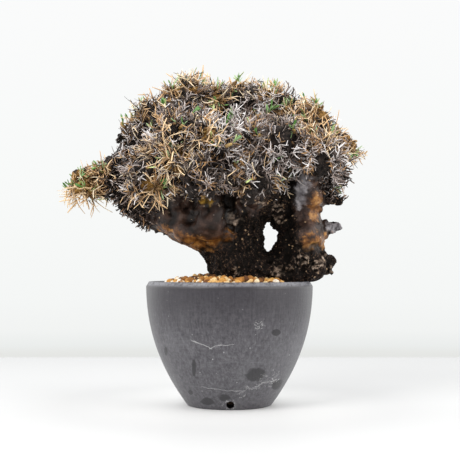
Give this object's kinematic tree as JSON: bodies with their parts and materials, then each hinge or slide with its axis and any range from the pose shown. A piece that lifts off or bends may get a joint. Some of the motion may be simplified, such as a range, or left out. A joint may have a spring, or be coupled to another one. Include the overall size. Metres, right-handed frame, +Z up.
{
  "type": "potted othonna",
  "caption": "Old swollen-stemmed succulent with two trunks, a crown of thorn-like dried stalks and small leafy tips, in a round-bottomed pot.",
  "frame": {"origin": "centre of the pot's flat foot, on the surface that the pot stands on", "axes": "+Z is up, -Y is the side the plant is shown from, +X is to the right in that view"},
  "size_m": [0.2236, 0.1667, 0.2388],
  "materials": {
    "pot": "satin dark grey ceramic with fine brushed streaks and worn patches",
    "potting_mix": "matt brown potting mix",
    "grit": "matt ochre and cream fired-clay grit",
    "bark": "satin brown-black bark with amber peeled patches and rough warts",
    "thorns": "matt grey-brown dried flower stalks, straw yellow near live tips",
    "shoot": "satin grey-green leaves on yellow-brown fleshy tips"
  },
  "bodies": {
    "root": {"caudex": "bark", "pot": "pot", "potting_mix": "potting_mix", "shoot_back_left": "shoot", "shoot_back_low": "shoot", "shoot_back_right": "shoot", "shoot_back_top": "shoot", "shoot_front": "shoot", "shoot_front_far_right": "shoot", "shoot_front_left": "shoot", "shoot_front_left_low": "shoot", "shoot_left_arm": "shoot", "shoot_left_arm_top": "shoot", "shoot_left_top": "shoot", "shoot_right": "shoot", "shoot_right_top": "shoot", "shoot_top": "shoot", "shoot_top_left": "shoot", "shoot_top_right": "shoot", "thorns_back_left": "thorns", "thorns_back_left_low": "thorns", "thorns_back_left_top": "thorns", "thorns_back_low": "thorns", "thorns_back_right": "thorns", "thorns_back_right_low": "thorns", "thorns_back_right_top": "thorns", "thorns_back_top": "thorns", "thorns_front": "thorns", "thorns_front_far_right": "thorns", "thorns_front_left": "thorns", "thorns_front_left_low": "thorns", "thorns_front_low": "thorns", "thorns_front_right": "thorns", "thorns_front_right_low": "thorns", "thorns_left": "thorns", "thorns_left_arm": "thorns", "thorns_left_arm_top": "thorns", "thorns_left_top": "thorns", "thorns_right": "thorns", "thorns_right_top": "thorns", "thorns_top": "thorns", "thorns_top_left": "thorns", "thorns_top_right": "thorns", "top_dressing": "grit"}
  },
  "joints": []
}
